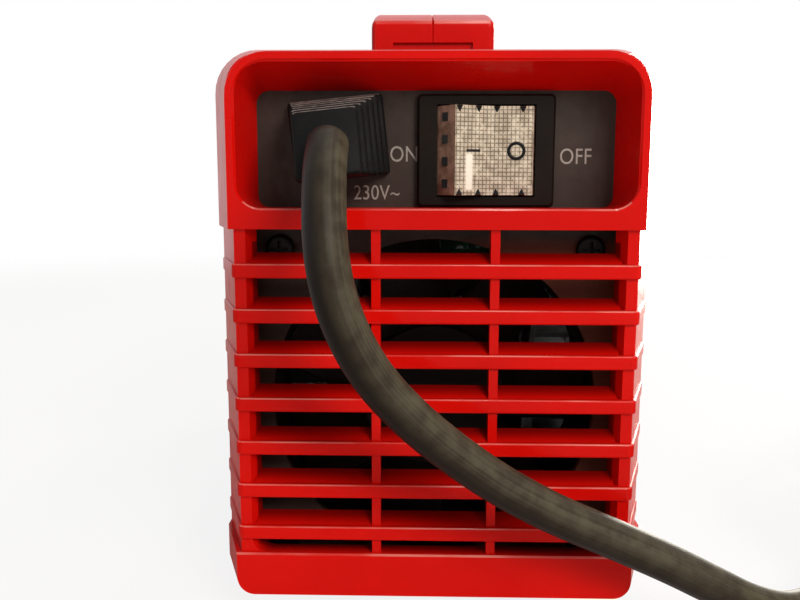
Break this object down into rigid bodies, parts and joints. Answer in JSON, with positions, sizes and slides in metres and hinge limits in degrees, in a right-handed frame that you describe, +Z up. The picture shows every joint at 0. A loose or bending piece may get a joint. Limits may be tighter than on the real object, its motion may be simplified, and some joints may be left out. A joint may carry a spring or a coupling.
{
  "type": "stick welding inverter",
  "caption": "Compact mains welding inverter with louvred rear cover, rocker switch, mains lead, arched carrying handle, current knob and bayonet output sockets.",
  "frame": {"origin": "on the floor under the middle of the case", "axes": "+Y to the front with the controls and output sockets, +X to the right seen from the cord end, +Z up"},
  "size_m": [0.2681, 0.2467, 0.155],
  "materials": {
    "red_plastic": "glossy moulded red plastic",
    "panel_grey": "dark grey-brown satin panel",
    "shell_black": "textured black powder coat",
    "pan_steel": "zinc plated sheet",
    "rubber_black": "soft black rubber",
    "screw_steel": "zinc plated screws",
    "screw_black": "blackened screws",
    "frame_black": "black switch and fan plastic",
    "rocker_lens": "clear ivory ribbed lens",
    "neon_glass": "small glass lamp",
    "brass": "bare brass",
    "copper": "bare copper",
    "winding_enamel": "enamelled copper wire and tape",
    "board_green": "solder mask on glass fibre",
    "can_sleeve": "shrink sleeve on aluminium can",
    "sink_aluminium": "extruded aluminium",
    "ferrite": "ferrite",
    "component_black": "moulded epoxy",
    "relay_blue": "relay case",
    "window_smoke": "smoked red window",
    "led_green": "green lens",
    "led_amber": "amber lens",
    "wire_brown": "wire insulation",
    "wire_red": "wire insulation",
    "cord_rubber": "grey-green rubber sheath",
    "pin_nickel": "nickel plated brass"
  },
  "bodies": {
    "machine": {"rear_cover": "red_plastic", "rear_panel": "panel_grey", "front_cover": "red_plastic", "front_panel": "panel_grey", "base_pan": "pan_steel", "top_shell": "shell_black", "foot_rear_left": "rubber_black", "foot_rear_right": "rubber_black", "foot_front_left": "rubber_black", "foot_front_right": "rubber_black", "handle_left": "red_plastic", "handle_right": "red_plastic", "handle_screws": "screw_black", "handle_bolts": "screw_steel", "rear_cover_screws": "screw_steel", "front_cover_screws": "screw_steel", "foot_screws": "screw_steel", "strain_relief": "rubber_black", "switch_frame": "frame_black", "neon_lamp": "neon_glass", "switch_terminals": "brass", "fan_frame": "frame_black", "fan_stator": "copper", "fan_bearing": "brass", "fan_screws": "screw_black", "main_board": "board_green", "standoffs": "brass", "capacitors": "can_sleeve", "heatsink_left": "sink_aluminium", "heatsink_right": "sink_aluminium", "power_transistors": "component_black", "rectifier_bridge": "component_black", "transformer_core": "ferrite", "transformer_windings": "winding_enamel", "choke_core": "ferrite", "choke_winding": "winding_enamel", "relay": "relay_blue", "busbar_positive": "copper", "busbar_negative": "copper", "socket_positive_body": "frame_black", "socket_positive_insert": "brass", "socket_negative_body": "frame_black", "socket_negative_insert": "brass", "socket_bolts": "screw_steel", "control_board": "board_green", "potentiometer": "screw_steel", "display_module": "component_black", "display_window": "window_smoke", "power_led": "led_green", "overheat_led": "led_amber", "mains_wires": "wire_brown", "fan_wires": "wire_red", "cord_run": "cord_rubber", "cord_coil": "cord_rubber", "plug_body": "rubber_black", "plug_pins": "pin_nickel"},
    "rocker": {"rocker": "rocker_lens"},
    "fan_rotor": {"fan_rotor": "frame_black"},
    "current_knob": {"current_knob": "frame_black", "pot_shaft": "screw_steel"}
  },
  "joints": [
    {"name": "rocker_tilt", "type": "hinge", "parent": "machine", "child": "rocker", "pos_m": [0.0114, -0.09, 0.1087], "axis": [0, 0, -1], "range_deg": [0, 22]},
    {"name": "fan_spin", "type": "hinge", "parent": "machine", "child": "fan_rotor", "pos_m": [0, -0.08, 0.0505], "axis": [0, 1, 0], "continuous": true},
    {"name": "current_dial", "type": "hinge", "parent": "machine", "child": "current_knob", "pos_m": [0.018, 0.095, 0.1], "axis": [0, -1, 0], "range_deg": [0, 270]}
  ]
}
